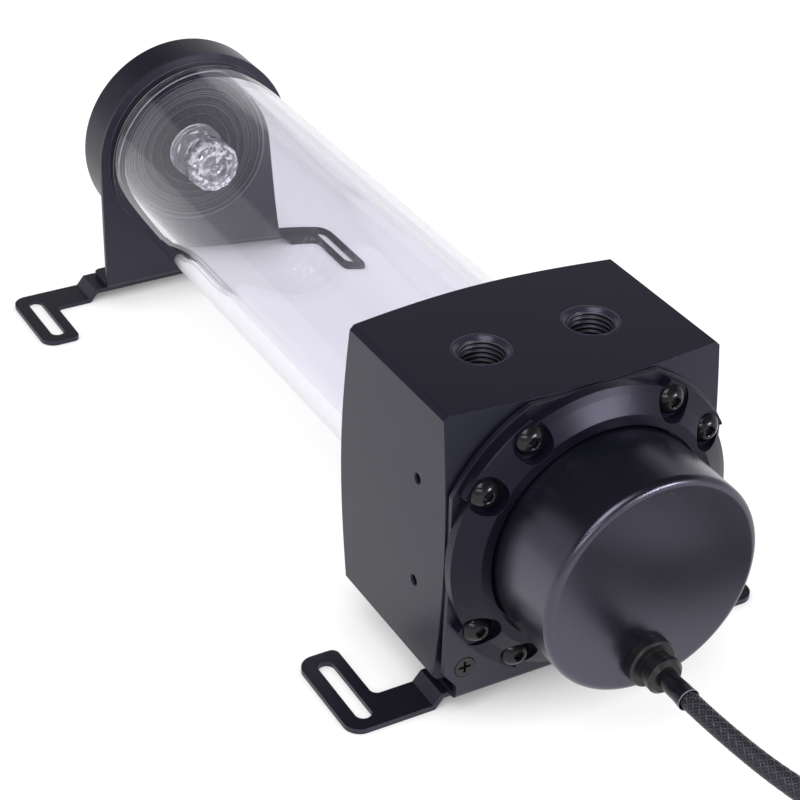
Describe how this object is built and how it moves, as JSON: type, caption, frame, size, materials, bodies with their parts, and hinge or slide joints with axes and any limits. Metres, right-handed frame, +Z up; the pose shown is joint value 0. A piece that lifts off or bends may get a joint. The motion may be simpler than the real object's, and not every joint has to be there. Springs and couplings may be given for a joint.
{
  "type": "coolant pump reservoir",
  "caption": "Liquid-cooling pump block with a clear horizontal reservoir tube, ported top, slotted sheet feet and a round pump motor on a short lead.",
  "frame": {"origin": "on the floor, at the centre of the four slots of the feet", "axes": "+X from the end cap to the pump motor, +Z up out of the ports, +Y completes the frame"},
  "size_m": [0.3683, 0.1393, 0.087],
  "materials": {
    "anodised_block": "black anodised, fine bead-blast satin",
    "anodised_ring": "black anodised, turned",
    "coated_sheet": "black powder coat, fine texture",
    "clear_glass": "clear, polished",
    "clear_acrylic": "clear acrylic, machined and polished",
    "anodised_cap": "black anodised, turned",
    "black_screw": "black oxide",
    "can_coat": "satin black coat",
    "seal_rubber": "black nitrile",
    "housing_plastic": "moulded",
    "cup_steel": "drawn stainless steel",
    "ceramic": "polished ceramic",
    "magnet": "sintered ferrite",
    "impeller_plastic": "moulded",
    "iron_core": "laminated iron",
    "copper": "enamelled copper wire",
    "board": "green solder mask",
    "capacitor": "aluminium can",
    "gland_rubber": "moulded rubber",
    "sleeve_plastic": "shrunk polyolefin",
    "cable_jacket": "satin black jacket",
    "connector_plastic": "moulded"
  },
  "bodies": {
    "reservoir": {"pump_block": "anodised_block", "reservoir_tube": "clear_glass", "tube_oring": "seal_rubber", "pump_oring": "seal_rubber", "end_cap": "anodised_cap", "cap_oring": "seal_rubber", "light_plug": "clear_acrylic", "light_plug_oring": "seal_rubber", "front_bracket": "coated_sheet", "rear_bracket": "coated_sheet", "front_foot_strip": "coated_sheet", "rear_foot_strip": "coated_sheet", "bracket_screws": "black_screw", "clamp_ring": "anodised_ring", "ring_screws": "black_screw", "pump_can": "can_coat", "motor_housing": "housing_plastic", "rotor_cup": "cup_steel", "bearing_post": "cup_steel", "bearing_ball": "ceramic", "stator_core": "iron_core", "stator_windings": "copper", "control_board": "board", "board_capacitors": "capacitor", "cable_gland": "gland_rubber", "heat_shrink_sleeve": "sleeve_plastic", "cable_lead": "cable_jacket", "cable_coil": "cable_jacket", "connector": "connector_plastic"},
    "rotor": {"impeller": "impeller_plastic", "rotor_magnet": "magnet"}
  },
  "joints": [
    {"name": "rotor_spin", "type": "hinge", "parent": "reservoir", "child": "rotor", "pos_m": [0.1197, 0, 0.0478], "axis": [1, 0, 0], "continuous": true}
  ]
}
